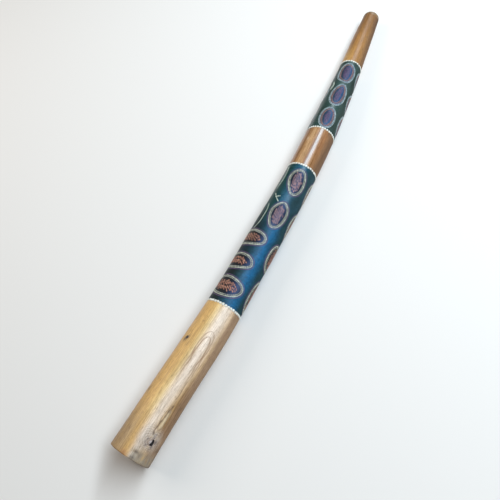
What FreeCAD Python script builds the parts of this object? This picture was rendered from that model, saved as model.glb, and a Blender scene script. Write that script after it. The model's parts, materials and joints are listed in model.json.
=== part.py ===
"""Didgeridoo: a crooked hollow log that lies on the floor, with a beeswax mouthpiece,
two dead knots, two painted bands, four rings of raised dots and oval paint fields.

The log runs along +X from its bell end to its mouth end and curves sideways, to -Y.
Its round sections stand square to its centre line, at evenly spaced stations.
The origin is the middle of the whole object's box, on the floor.
"""
import FreeCAD, Part
import math
import os
import Sketcher
from FreeCAD import Placement, Rotation, Vector

STATIONS = 11
LAST = STATIONS - 1
# Where the sections stand, counted in stations: the two close to the ends keep the loft
# from waving between its last stations.
SECTIONS = (0, 0.2, *range(1, LAST), LAST - 0.2, LAST)
SIDE_OFFSETS = (0, -12, -26, -33.5, -38, -42.5, -42, -35.5, -26, -13, 0)
OUTER_RADII = (45.5, 44, 43.5, 41, 41, 40, 40, 37, 32.5, 29.5, 25)
FLOOR_GAPS = (0, 1.4, 1.8, 1.2, 0.3, 0.6, 1.5, 1.9, 1.7, 1.0, 0.1)

SIZES = {
    "station_pitch": 144,
    "wall_bell": 11,        # wall of the log at the bell end
    "wall_mouth": 7,        # and at the mouth end; it changes evenly between them
    "bell_round": 3,        # rounding of the bell's outer edge
    "seat_radius": 19,      # the socket that the beeswax is pressed into
    "seat_depth": 25,
    "wax_bore_radius": 15,
    "wax_lip": 10,          # how far the wax stands out of the wood
    "wax_outer_round": 5,
    "wax_inner_round": 4,
    "coat": 0.3,            # thickness of a band's ground coat
    "field": 0.2,           # thickness of an oval field on top of the coat
    "dot_width": 6,
    "dot_height": 0.9,      # how far a dot stands out of the wood
    "ring_mouth_place": 1194,
    "ring_upper_place": 910,
    "ring_lower_place": 777,
    "ring_bell_place": 356,
    "bell_knot_place": 45,
    "bell_knot_angle": -52,
    "bell_knot_radius": 8,
    "side_knot_place": 256,
    "side_knot_angle": 30,
    "side_knot_radius": 4,
    "knot_depth": 8,
    "knot_gap": 0.1,
}
for station in range(STATIONS):
    SIZES[f"side_{station}"] = SIDE_OFFSETS[station]
    SIZES[f"radius_{station}"] = OUTER_RADII[station]
    SIZES[f"gap_{station}"] = FLOOR_GAPS[station]

# Oval fields: place along the log, angle round it from the top (plus is the +Y side),
# length along the log, length round it, and how far the oval is turned.
LOWER_OVALS = [
    (399, 16, 54, 92, 0), (469, 32, 46, 92, 0), (537, 31, 46, 92, 0),
    (616, -22, 78, 45, 2), (722, -22, 80, 46, 8),
    (411, -105, 90, 44, -3), (516, -93, 76, 46, 5), (619, -109, 80, 44, 0), (721, -113, 76, 44, 3),
    (412, 168, 80, 40, 4), (510, 168, 70, 44, -3), (606, 148, 66, 36, 0), (716, 166, 66, 38, -4),
    (616, 84, 70, 38, 0), (716, 84, 70, 38, 5),
]
UPPER_OVALS = [
    (951, -14, 80, 48, 2), (1046, -16, 90, 48, -3), (1140, -9, 86, 52, 3),
    (957, -103, 84, 46, 2), (1050, -103, 80, 44, -3), (1145, -104, 74, 42, 3),
    (952, 168, 76, 40, -3), (1046, 166, 78, 40, 3), (1140, 166, 74, 38, -2),
    (946, 76, 64, 38, 3), (1048, 74, 76, 40, -3), (1140, 78, 60, 30, 2),
]

doc = FreeCAD.newDocument("didgeridoo")
sheet = doc.addObject("Spreadsheet::Sheet", "Sizes")
for row, (alias, value) in enumerate(SIZES.items(), start=1):
    sheet.set(f"A{row}", alias)
    sheet.set(f"B{row}", str(value))
    sheet.setAlias(f"B{row}", alias)
doc.recompute()


def size(alias):
    """A driving dimension, read from the sheet."""
    return float(getattr(sheet, alias))


def origin_plane(body, role):
    return next(item for item in body.Origin.OriginFeatures if item.Role == role)


def add_circle(sketch, formula):
    """A circle round the sketch's origin in two half arcs, which keeps a loft from twisting."""
    circle = Part.Circle(Vector(0, 0, 0), Vector(0, 0, 1), 10)
    upper = sketch.addGeometry(Part.ArcOfCircle(circle, 0, math.pi))
    lower = sketch.addGeometry(Part.ArcOfCircle(circle, math.pi, 2 * math.pi))
    start, end, centre, origin, level_axis = 1, 2, 3, (-1, 1), -1
    for arc in (upper, lower):
        sketch.addConstraint(Sketcher.Constraint("Coincident", arc, centre, *origin))
    sketch.addConstraint(Sketcher.Constraint("Coincident", upper, end, lower, start))
    sketch.addConstraint(Sketcher.Constraint("Coincident", lower, end, upper, start))
    sketch.addConstraint(Sketcher.Constraint("PointOnObject", upper, start, level_axis))
    radius_rule = sketch.addConstraint(Sketcher.Constraint("Radius", upper, 10))
    sketch.setExpression(f"Constraints[{radius_rule}]", formula)


def station_pair(section):
    """The station before a section, the one after it, and how far it is between them."""
    before = min(int(section), LAST - 1)
    return before, before + 1, round(section - before, 3)


def formula_at(quantity, section):
    """The formula of a station quantity (side, radius or gap) at any section."""
    before, after, fraction = station_pair(section)
    return (f"(Sizes.{quantity}_{before}"
            f" + (Sizes.{quantity}_{after} - Sizes.{quantity}_{before}) * {fraction})")


def size_at(quantity, section):
    before, after, fraction = station_pair(section)
    start = size(f"{quantity}_{before}")
    return start + (size(f"{quantity}_{after}") - start) * fraction


def ring_sketch(body, name, section, radii):
    """Concentric circles at a section, square to the centre line; each radius is a formula."""
    before = max(math.ceil(section) - 1, 0)
    after = min(math.floor(section) + 1, LAST)
    sketch = body.newObject("Sketcher::SketchObject", name)
    sketch.AttachmentSupport = [(origin_plane(body, "YZ_Plane"), "")]
    sketch.MapMode = "FlatFace"
    sketch.AttachmentOffset = Placement(Vector(0, 0, 0), Rotation(Vector(0, 1, 0), 1))
    sketch.setExpression("AttachmentOffset.Base.x", formula_at("side", section))
    sketch.setExpression("AttachmentOffset.Base.y",
                         f"{formula_at('radius', section)} + {formula_at('gap', section)}")
    sketch.setExpression("AttachmentOffset.Base.z", f"Sizes.station_pitch * {section}")
    sketch.setExpression("AttachmentOffset.Rotation.Angle",
                         f"atan2(Sizes.side_{after} - Sizes.side_{before};"
                         f" Sizes.station_pitch * {after - before})")
    for formula in radii:
        add_circle(sketch, formula)
    return sketch


def lofted_body(name, formulas):
    """A body lofted through every section; formulas gives the radii at a section."""
    body = doc.addObject("PartDesign::Body", name)
    sketches = [ring_sketch(body, f"{name}_section_{number}", section, formulas(section))
                for number, section in enumerate(SECTIONS)]
    loft = body.newObject("PartDesign::AdditiveLoft", f"{name}_loft")
    loft.Profile = sketches[0]
    loft.Sections = sketches[1:]
    return body


def outer_radius(section):
    return formula_at("radius", section)


def bore_radius(section):
    return (f"{outer_radius(section)} - Sizes.wall_bell"
            f" + (Sizes.wall_bell - Sizes.wall_mouth) * {section} / {LAST}")


def rim_edges(body, radius, sense):
    """The names of a rim's half round edges: the rim furthest along +X (sense 1) or -X (-1)."""
    names = {}
    for number, edge in enumerate(body.Shape.Edges, start=1):
        if abs(edge.Length - math.pi * radius) < 0.01 * radius:
            names[f"Edge{number}"] = sense * edge.BoundBox.Center.x
    furthest = max(names.values())
    return [name for name, place in names.items() if furthest - place < radius / 4]


# ---- the log: a lofted tube, a socket for the wax, a rounded bell edge --------------------
tube = lofted_body("log_tube", lambda i: (outer_radius(i), bore_radius(i)))
seat_sketch = ring_sketch(tube, "wax_seat", LAST, ("Sizes.seat_radius",))
seat = tube.newObject("PartDesign::Pocket", "wax_seat_pocket")
seat.Profile = seat_sketch
seat.Type = "Length"
seat.setExpression("Length", "Sizes.seat_depth")
doc.recompute()
bell_round = tube.newObject("PartDesign::Fillet", "bell_edge_round")
bell_round.Base = (seat, rim_edges(tube, size("radius_0"), -1))
bell_round.setExpression("Radius", "Sizes.bell_round")

# ---- the centre line and the outer radius, with the place along X as their parameter -------
places = [size("station_pitch") * section for section in SECTIONS]
centre_line = Part.BSplineCurve()
centre_line.interpolate(
    Points=[Vector(place, size_at("side", section), size_at("radius", section) + size_at("gap", section))
            for place, section in zip(places, SECTIONS)],
    Parameters=places)
radius_line = Part.BSplineCurve()
radius_line.interpolate(
    Points=[Vector(place, size_at("radius", section), 0) for place, section in zip(places, SECTIONS)],
    Parameters=places)


def wood_radius(place):
    """The log's outer radius at a place along X."""
    return radius_line.value(place).y


def section_frame(place):
    """The placement of a section: its X along the centre line, its Z up."""
    forward = centre_line.tangent(place)[0]
    yaw = math.degrees(math.atan2(forward.y, forward.x))
    return Placement(centre_line.value(place), Rotation(Vector(0, 0, 1), yaw))


def radial_frame(place, angle):
    """A placement on the centre line whose Z points out of the log at an angle from the top."""
    return section_frame(place).multiply(Placement(Vector(0, 0, 0), Rotation(Vector(1, 0, 0), -angle)))


# ---- solid forms that the painted layers are cut from -------------------------------------
wood_form = lofted_body("wood_form", lambda i: (outer_radius(i),))
coat_skin = lofted_body("coat_skin", lambda i: (f"{outer_radius(i)} + Sizes.coat", outer_radius(i)))
field_skin = lofted_body("field_skin", lambda i: (f"{outer_radius(i)} + Sizes.coat + Sizes.field",
                                                  f"{outer_radius(i)} + Sizes.coat"))


# ---- dead knots, seated in tapered blind holes --------------------------------------------
def knot_cone(name, knot, gap_formula):
    """A cone that points into the log, wider outside; its axis is radial."""
    cone = doc.addObject("Part::Cone", name)
    cone.setExpression("Radius1", f"Sizes.{knot}_radius * 0.7 {gap_formula}")
    cone.setExpression("Radius2", f"Sizes.{knot}_radius * 1.1 {gap_formula}")
    cone.setExpression("Height", "Sizes.knot_depth * 2")
    place = size(f"{knot}_place")
    surface = wood_radius(place)
    cone.Placement = radial_frame(place, size(f"{knot}_angle")).multiply(
        Placement(Vector(0, 0, surface - size("knot_depth")), Rotation()))
    return cone


def boolean(kind, name, base, tool):
    result = doc.addObject(kind, name)
    result.Base = base
    result.Tool = tool
    return result


knots = []
holes = []
for knot in ("bell_knot", "side_knot"):
    plug = knot_cone(f"{knot}_plug", knot, "- Sizes.knot_gap")
    knots.append(boolean("Part::Common", knot, plug, wood_form))
    holes.append(knot_cone(f"{knot}_hole", knot, ""))
both_holes = boolean("Part::Fuse", "knot_holes", holes[0], holes[1])
hollow_log = boolean("Part::Cut", "hollow_log", tube, both_holes)

# ---- the beeswax mouthpiece: a sleeve in the socket and a rounded lip outside it ----------
def wax_half_section(body):
    """Half of the wax's section, in order from the bore; its X runs from the socket's floor."""
    sketch = body.newObject("Sketcher::SketchObject", "wax_half_section")
    sketch.AttachmentSupport = [(origin_plane(body, "XZ_Plane"), "")]
    sketch.MapMode = "FlatFace"
    bore, seat_wall, outside = size("wax_bore_radius"), size("seat_radius"), size(f"radius_{LAST}")
    shoulder = size("seat_depth")
    end = shoulder + size("wax_lip")
    inner, outer = size("wax_inner_round"), size("wax_outer_round")
    inner_circle = Part.Circle(Vector(end - inner, bore + inner, 0), Vector(0, 0, 1), inner)
    outer_circle = Part.Circle(Vector(end - outer, outside - outer, 0), Vector(0, 0, 1), outer)

    def line(x_1, y_1, x_2, y_2):
        return Part.LineSegment(Vector(x_1, y_1, 0), Vector(x_2, y_2, 0))

    bore_line, inner_arc, end_line, outer_arc, outer_line, shoulder_line, seat_line, floor_line = (
        sketch.addGeometry(item) for item in (
            line(0, bore, end - inner, bore),
            Part.ArcOfCircle(inner_circle, -math.pi / 2, 0),
            line(end, bore + inner, end, outside - outer),
            Part.ArcOfCircle(outer_circle, 0, math.pi / 2),
            line(end - outer, outside, shoulder, outside),
            line(shoulder, outside, shoulder, seat_wall),
            line(shoulder, seat_wall, 0, seat_wall),
            line(0, seat_wall, 0, bore)))
    first_point, last_point = 1, 2
    for number in (bore_line, inner_arc, end_line, outer_arc):
        sketch.addConstraint(Sketcher.Constraint("Tangent", number, last_point,
                                                 number + 1, first_point))
    for number in (outer_line, shoulder_line, seat_line, floor_line):
        sketch.addConstraint(Sketcher.Constraint("Coincident", number, last_point,
                                                 (number + 1) % (floor_line + 1), first_point))
    for number in (bore_line, outer_line, seat_line):
        sketch.addConstraint(Sketcher.Constraint("Horizontal", number))
    for number in (end_line, shoulder_line, floor_line):
        sketch.addConstraint(Sketcher.Constraint("Vertical", number))
    upright_axis = -2
    sketch.addConstraint(Sketcher.Constraint("PointOnObject", floor_line, first_point, upright_axis))
    for kind, geometry, formula in (
            ("DistanceY", bore_line, "Sizes.wax_bore_radius"),
            ("DistanceY", outer_line, f"Sizes.radius_{LAST}"),
            ("DistanceY", seat_line, "Sizes.seat_radius"),
            ("DistanceX", shoulder_line, "Sizes.seat_depth"),
            ("DistanceX", end_line, "Sizes.seat_depth + Sizes.wax_lip")):
        number = sketch.addConstraint(Sketcher.Constraint(kind, -1, 1, geometry, first_point,
                                                          float(sheet.evalExpression(formula))))
        sketch.setExpression(f"Constraints[{number}]", formula)
    for arc, formula in ((inner_arc, "Sizes.wax_inner_round"), (outer_arc, "Sizes.wax_outer_round")):
        number = sketch.addConstraint(Sketcher.Constraint("Radius", arc,
                                                          float(sheet.evalExpression(formula))))
        sketch.setExpression(f"Constraints[{number}]", formula)
    return sketch


wax = doc.addObject("PartDesign::Body", "beeswax_mouthpiece")
wax_turn = wax.newObject("PartDesign::Revolution", "wax_turned")
half_section = wax_half_section(wax)
wax_turn.Profile = half_section
wax_turn.ReferenceAxis = (half_section, ["H_Axis"])
wax_turn.Angle = 360
wax.Tip = wax_turn
mouth = section_frame(places[-1])
wax_home = mouth.multiply(Placement(Vector(-size("seat_depth"), 0, 0), Rotation()))


# ---- ground coats: the coat's skin, cut off square to the centre line at both rings --------
def end_block(name, place, sense):
    """A block that takes everything beyond a place: sense -1 towards the bell, 1 the mouth."""
    block = doc.addObject("Part::Box", name)
    block.setExpression("Length", f"Sizes.station_pitch * {STATIONS + 1}")
    block.setExpression("Width", "Sizes.station_pitch * 2")
    block.setExpression("Height", "Sizes.station_pitch * 2")
    reach = size("station_pitch")
    start = 0 if sense > 0 else -reach * (STATIONS + 1)
    block.Placement = section_frame(place).multiply(
        Placement(Vector(start, -reach, -reach), Rotation()))
    return block


def band_coat(name, first, last):
    blocks = boolean("Part::Fuse", f"{name}_ends", end_block(f"{name}_bell_side", first, -1),
                     end_block(f"{name}_mouth_side", last, 1))
    return boolean("Part::Cut", name, coat_skin, blocks)


lower_coat = band_coat("lower_band_paint", size("ring_bell_place"), size("ring_lower_place"))
upper_coat = band_coat("upper_band_paint", size("ring_upper_place"), size("ring_mouth_place"))
doc.recompute()


# ---- rings of raised dots: one cap of a ball for each dot, laid over the coat's edge ------
def dot_ring(name, place, coat):
    half_width = size("dot_width") / 2
    height = size("dot_height")
    ball_radius = (half_width ** 2 + height ** 2) / (2 * height)
    frame = section_frame(place)
    reach = size("station_pitch")
    cutting_face = Part.makePlane(2 * reach, 2 * reach, Vector(0, -reach, -reach), Vector(1, 0, 0),
                                  Vector(0, 1, 0))
    cutting_face.Placement = frame.multiply(cutting_face.Placement)
    rim = Part.Wire(Part.__sortEdges__(wood_form.Shape.section(cutting_face).Edges))
    count = round(rim.Length / (size("dot_width") * 1.14))
    dots = []
    for point in rim.discretize(Number=2 * count + 1)[1::2]:
        inward = (frame.Base - point).normalize()
        ball = Part.makeSphere(ball_radius)
        ball.Placement = Placement(point + inward * (ball_radius - height),
                                   Rotation(Vector(0, 0, 1), -inward))
        dots.append(ball.cut(wood_form.Shape).cut(coat.Shape))
    ring = doc.addObject("Part::Feature", name)
    ring.Shape = Part.makeCompound(dots)
    return ring


rings = [
    dot_ring("mouth_dot_ring", size("ring_mouth_place"), upper_coat),
    dot_ring("upper_band_dot_ring", size("ring_upper_place"), upper_coat),
    dot_ring("lower_band_dot_ring", size("ring_lower_place"), lower_coat),
    dot_ring("bell_dot_ring", size("ring_bell_place"), lower_coat),
]


# ---- oval fields: pieces of the field's skin, cut out by elliptical prisms ----------------
def oval_fields(name, ovals):
    prisms = []
    for place, angle, along, around, turn in ovals:
        radius = wood_radius(place)
        chord = 2 * radius * math.sin(around / (2 * radius))
        outline = Part.Ellipse(Vector(0, 0, 0), max(along, chord) / 2, min(along, chord) / 2)
        prism = Part.Face(Part.Wire(outline.toShape())).extrude(Vector(0, 0, 2 * radius))
        if chord > along:
            turn += 90
        prism.Placement = radial_frame(place, angle).multiply(
            Placement(Vector(0, 0, 0), Rotation(Vector(0, 0, 1), turn)))
        prisms.append(prism)
    fields = doc.addObject("Part::Feature", name)
    fields.Shape = field_skin.Shape.common(Part.makeCompound(prisms))
    return fields


lower_fields = oval_fields("lower_band_ovals", LOWER_OVALS)
upper_fields = oval_fields("upper_band_ovals", UPPER_OVALS)

# ---- every piece's label and place ---------------------------------------------------------
pieces = [hollow_log, wax, *knots, lower_coat, upper_coat, *rings, lower_fields, upper_fields]
wax.Placement = wax_home
doc.recompute()
boxes = [piece.Shape.optimalBoundingBox() for piece in pieces]
low = Vector(*(min(getattr(box, side) for box in boxes) for side in ("XMin", "YMin", "ZMin")))
high = Vector(*(max(getattr(box, side) for box in boxes) for side in ("XMax", "YMax", "ZMax")))
shift = Vector(-(low.x + high.x) / 2, -(low.y + high.y) / 2, -low.z)
for piece in pieces:
    piece.Label = piece.Name
    piece.Placement = Placement(shift, Rotation()).multiply(piece.Placement)
doc.recompute()

for item in doc.Objects:
    if "Invalid" in item.State or "Error" in item.State:
        raise RuntimeError(f"{item.Name} did not compute: {item.State}")
for piece in pieces:
    if piece.Shape.isNull() or not piece.Shape.isValid():
        raise RuntimeError(f"{piece.Label} has no valid shape")

os.makedirs("parts", exist_ok=True)
for piece in pieces:
    piece.Shape.exportStep(f"parts/{piece.Label}.step")
    print(piece.Label, "solids", len(piece.Shape.Solids), "volume", round(piece.Shape.Volume))
print("shift", shift, "size", high - low)
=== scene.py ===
import json
import math

import bpy
import numpy as np
from mathutils import Matrix, Vector


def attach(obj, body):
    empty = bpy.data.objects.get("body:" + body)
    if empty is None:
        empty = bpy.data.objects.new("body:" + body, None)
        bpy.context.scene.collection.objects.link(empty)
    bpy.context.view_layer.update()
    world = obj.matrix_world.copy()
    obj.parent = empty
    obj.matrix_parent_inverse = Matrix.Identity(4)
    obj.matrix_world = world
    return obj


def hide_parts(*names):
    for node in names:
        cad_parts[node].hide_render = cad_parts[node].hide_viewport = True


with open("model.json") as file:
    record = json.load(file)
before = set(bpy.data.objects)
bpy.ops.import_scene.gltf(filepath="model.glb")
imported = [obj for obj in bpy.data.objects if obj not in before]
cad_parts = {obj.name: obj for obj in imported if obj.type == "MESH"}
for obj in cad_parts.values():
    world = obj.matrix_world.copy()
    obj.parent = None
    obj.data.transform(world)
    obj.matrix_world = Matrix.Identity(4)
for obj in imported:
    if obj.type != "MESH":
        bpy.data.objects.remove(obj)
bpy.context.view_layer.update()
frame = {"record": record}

# Lengths are in millimetres and angles in degrees until polar_point() turns them into metres in
# the row frame. A "place" runs along the log from its bell end. An "angle" runs round it from the
# top, and plus is the +Y side. The log's shape is given at stations, a fixed pitch apart.
MM = 0.001
STATION_PITCH = 144
SIDE_OFFSETS = (0, -12, -26, -33.5, -38, -42.5, -42, -35.5, -26, -13, 0)
OUTER_RADII = (45.5, 44, 43.5, 41, 41, 40, 40, 37, 32.5, 29.5, 25)
FLOOR_GAPS = (0, 1.4, 1.8, 1.2, 0.3, 0.6, 1.5, 1.9, 1.7, 1.0, 0.1)
LAST = len(OUTER_RADII) - 1
LOG_LENGTH = STATION_PITCH * LAST
WALL_BELL = 11
WALL_MOUTH = 7
SEAT_RADIUS = 19
SEAT_DEPTH = 25
WAX_BORE = 15
WAX_LIP = 10
WAX_OUTER_ROUND = 5
WAX_INNER_ROUND = 4
BELL_ROUND = 3
BORE_EDGE_ROUND = 1.0
COAT = 0.3
FIELD = 0.2
FIELD_INSET = 0.5
RING_PLACES = {"mouth_dot_ring": 1194, "upper_band_dot_ring": 910,
               "lower_band_dot_ring": 777, "bell_dot_ring": 356}
# the place, angle and radius of each knot
BELL_KNOT = (45, -52, 8)
SIDE_KNOT = (256, 30, 4)
KNOT_SWELL = 1.3
BELL_FACE_MOUNT = next(m for m in frame["record"]["mounts"] if m["name"] == "bell_face")
# the height of that mount above the floor
BELL_FACE_HEIGHT = 84
ORIGIN = np.array(BELL_FACE_MOUNT["pos_m"]) - np.array((0, 0, BELL_FACE_HEIGHT * MM))

draws = np.random.default_rng(11)


# ---- the log's centre line and radius ----
class Spline:
    """A natural cubic spline through given values."""

    def __init__(self, knots, values):
        self.knots = np.array(knots, float)
        self.values = np.array(values, float)
        steps = np.diff(self.knots)
        slopes = np.diff(self.values) / steps
        count = len(self.knots)
        matrix = np.eye(count)
        right = np.zeros(count)
        for i in range(1, count - 1):
            matrix[i, i - 1:i + 2] = steps[i - 1], 2 * (steps[i - 1] + steps[i]), steps[i]
            right[i] = 6 * (slopes[i] - slopes[i - 1])
        self.bends = np.linalg.solve(matrix, right)

    def _span(self, place):
        place = np.clip(place, self.knots[0], self.knots[-1])
        i = np.clip(np.searchsorted(self.knots, place) - 1, 0, len(self.knots) - 2)
        step = self.knots[i + 1] - self.knots[i]
        return i, step, (self.knots[i + 1] - place) / step, (place - self.knots[i]) / step

    def value(self, place):
        i, step, a, b = self._span(place)
        return (a * self.values[i] + b * self.values[i + 1]
                + ((a ** 3 - a) * self.bends[i] + (b ** 3 - b) * self.bends[i + 1]) * step ** 2 / 6)

    def slope(self, place):
        i, step, a, b = self._span(place)
        return ((self.values[i + 1] - self.values[i]) / step
                + ((3 * b * b - 1) * self.bends[i + 1] - (3 * a * a - 1) * self.bends[i]) * step / 6)


SECTIONS = np.array((0, 0.2, *range(1, LAST), LAST - 0.2, LAST))


def station_spline(values):
    """A spline through a quantity's station values, held straight just inside both ends."""
    return Spline(SECTIONS * STATION_PITCH, np.interp(SECTIONS, range(LAST + 1), values))


side_line = station_spline(SIDE_OFFSETS)
radius_line = station_spline(OUTER_RADII)
height_line = station_spline([r + gap for r, gap in zip(OUTER_RADII, FLOOR_GAPS)])


def wood_radius(place):
    return radius_line.value(place)


def bore_radius(place):
    return wood_radius(place) - WALL_BELL + (WALL_BELL - WALL_MOUTH) * place / LOG_LENGTH


def polar_point(place, angle, radius):
    """Points at a radius from the centre line, in the row frame, in metres."""
    place, angle, radius = np.broadcast_arrays(place, np.radians(angle), radius)
    on_log = np.clip(place, 0, LOG_LENGTH)
    yaw = np.arctan(side_line.slope(on_log))
    beyond = place - on_log
    sideways = radius * np.sin(angle)
    x = on_log + beyond * np.cos(yaw) - sideways * np.sin(yaw)
    y = side_line.value(on_log) + beyond * np.sin(yaw) + sideways * np.cos(yaw)
    z = height_line.value(on_log) + radius * np.cos(angle)
    return np.stack([x, y, z], axis=-1) * MM + ORIGIN


def surface(place, angle, lift):
    """Points at a lift above the bare wood."""
    return polar_point(place, angle, wood_radius(place) + lift)


def straight(place, angle, radius):
    """The same points with the log unbent, for the grain to follow."""
    place, angle, radius = np.broadcast_arrays(place, np.radians(angle), radius)
    return np.stack([place, radius * np.sin(angle), radius * np.cos(angle)], axis=-1) * MM


# ---- small helpers ----
def smooth_step(low, high, value):
    """0 up to low and 1 from high on; when low is the larger, it falls instead of rising."""
    t = np.clip((value - low) / (high - low), 0, 1)
    return t * t * (3 - 2 * t)


def mix(first, second, amount):
    """The first colour turning into the second; amounts are 0 to 1, one for each point."""
    return first + (second - first) * np.asarray(amount)[..., None]


def zone(value, start, full, fading, end):
    """1 from full to fading, 0 before start and after end, and smooth in between."""
    return smooth_step(start, full, value) * smooth_step(end, fading, value)


def layered(colour, *layers):
    """A colour with others laid over it in turn, each as (colour, how much of it)."""
    for tone, amount in layers:
        colour = mix(colour, tone, amount)
    return colour


def hump(distance, width):
    """1 in the middle, and falling smoothly to 0 on both sides."""
    return np.exp(-(distance / width) ** 2)


def signed(angle):
    """The same angle, from -180 to 180."""
    return (angle + 180) % 360 - 180


def waves(place, angle, long_wave, turns, count, seed):
    """Smooth noise round the log: long waves along it, and up to so many turns round it."""
    dice = np.random.default_rng(seed)
    total = 0
    for _ in range(count):
        along = dice.normal() * 2 * math.pi / long_wave
        around = dice.integers(1, turns + 1)
        phase = dice.uniform(0, 2 * math.pi)
        total = total + np.sin(place * along + np.radians(angle) * around + phase)
    return total / math.sqrt(count)


def unrolled(place, angle, centre_place, centre_angle):
    """Offsets from a spot on the unrolled surface: along the log and round it."""
    turn = signed(angle - centre_angle)
    return place - centre_place, np.radians(turn) * wood_radius(centre_place)


def distance_to_path(place, angle, path):
    """Distance on the unrolled surface to a path of (place, angle) points."""
    nearest = np.full(np.broadcast(place, angle).shape, np.inf)
    for (place_1, angle_1), (place_2, angle_2) in zip(path, path[1:]):
        u, v = unrolled(place, angle, place_1, angle_1)
        end_u, end_v = unrolled(place_2, angle_2, place_1, angle_1)
        t = np.clip((u * end_u + v * end_v) / (end_u ** 2 + end_v ** 2), 0, 1)
        nearest = np.minimum(nearest, np.hypot(u - t * end_u, v - t * end_v))
    return nearest


def wear(angle):
    """How worn the varnish is round the log: it has gone dull on the -Y side."""
    return zone(signed(angle), -160, -120, -62, -36)


def new_object(name, data):
    """An object in the scene that shows the data."""
    made = bpy.data.objects.new(name, data)
    bpy.context.scene.collection.objects.link(made)
    return made


LAYER_KINDS = {"straight": ("FLOAT_VECTOR", "vector"), "tint": ("FLOAT_COLOR", "color"),
               "dullness": ("FLOAT", "value")}


def new_piece(name, points, faces, material, replaced=(), slot_name=None, **layers):
    """A piece that rides on the root body. A layer holds a value for each of its points."""
    mesh = bpy.data.meshes.new(name)
    mesh.from_pydata(points.reshape(-1, 3).tolist(), [], faces)
    mesh.update()
    mesh.polygons.foreach_set("use_smooth", [True] * len(mesh.polygons))
    piece = new_object(name, mesh)
    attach(piece, "root")
    if replaced:
        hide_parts(*replaced)
    for layer_name, values in layers.items():
        kind, field = LAYER_KINDS[layer_name]
        if layer_name == "tint":
            values = np.insert(np.reshape(values, (-1, 3)), 3, 1, axis=1)
        layer = mesh.attributes.new(layer_name, kind, "POINT")
        layer.data.foreach_set(field, np.asarray(values, np.float32).ravel())
    mesh.materials.append(material)
    return piece


def ring_faces(rows, columns, closed_rows):
    """Quads of a grid whose columns close on themselves, and whose rows may."""
    faces = []
    for row in range(rows if closed_rows else rows - 1):
        below = row * columns
        above = (row + 1) % rows * columns
        faces += [(below + c, below + (c + 1) % columns, above + (c + 1) % columns, above + c)
                  for c in range(columns)]
    return faces


def round_grid(profile, columns):
    """A profile of places and radii repeated round the log: places, angles and radii."""
    places, radii = (np.array(part, float)[:, None] + np.zeros(columns) for part in zip(*profile))
    return places, np.arange(columns) * 360 / columns + np.zeros(places.shape), radii


def new_tube(name, places, turns, radii, material, node, slot_name, **layers):
    """A piece round the log whose profile closes on itself."""
    return new_piece(name, polar_point(places, turns, radii), ring_faces(*places.shape, True), material,
                     [node], slot_name, straight=straight(places, turns, radii), **layers)


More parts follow.
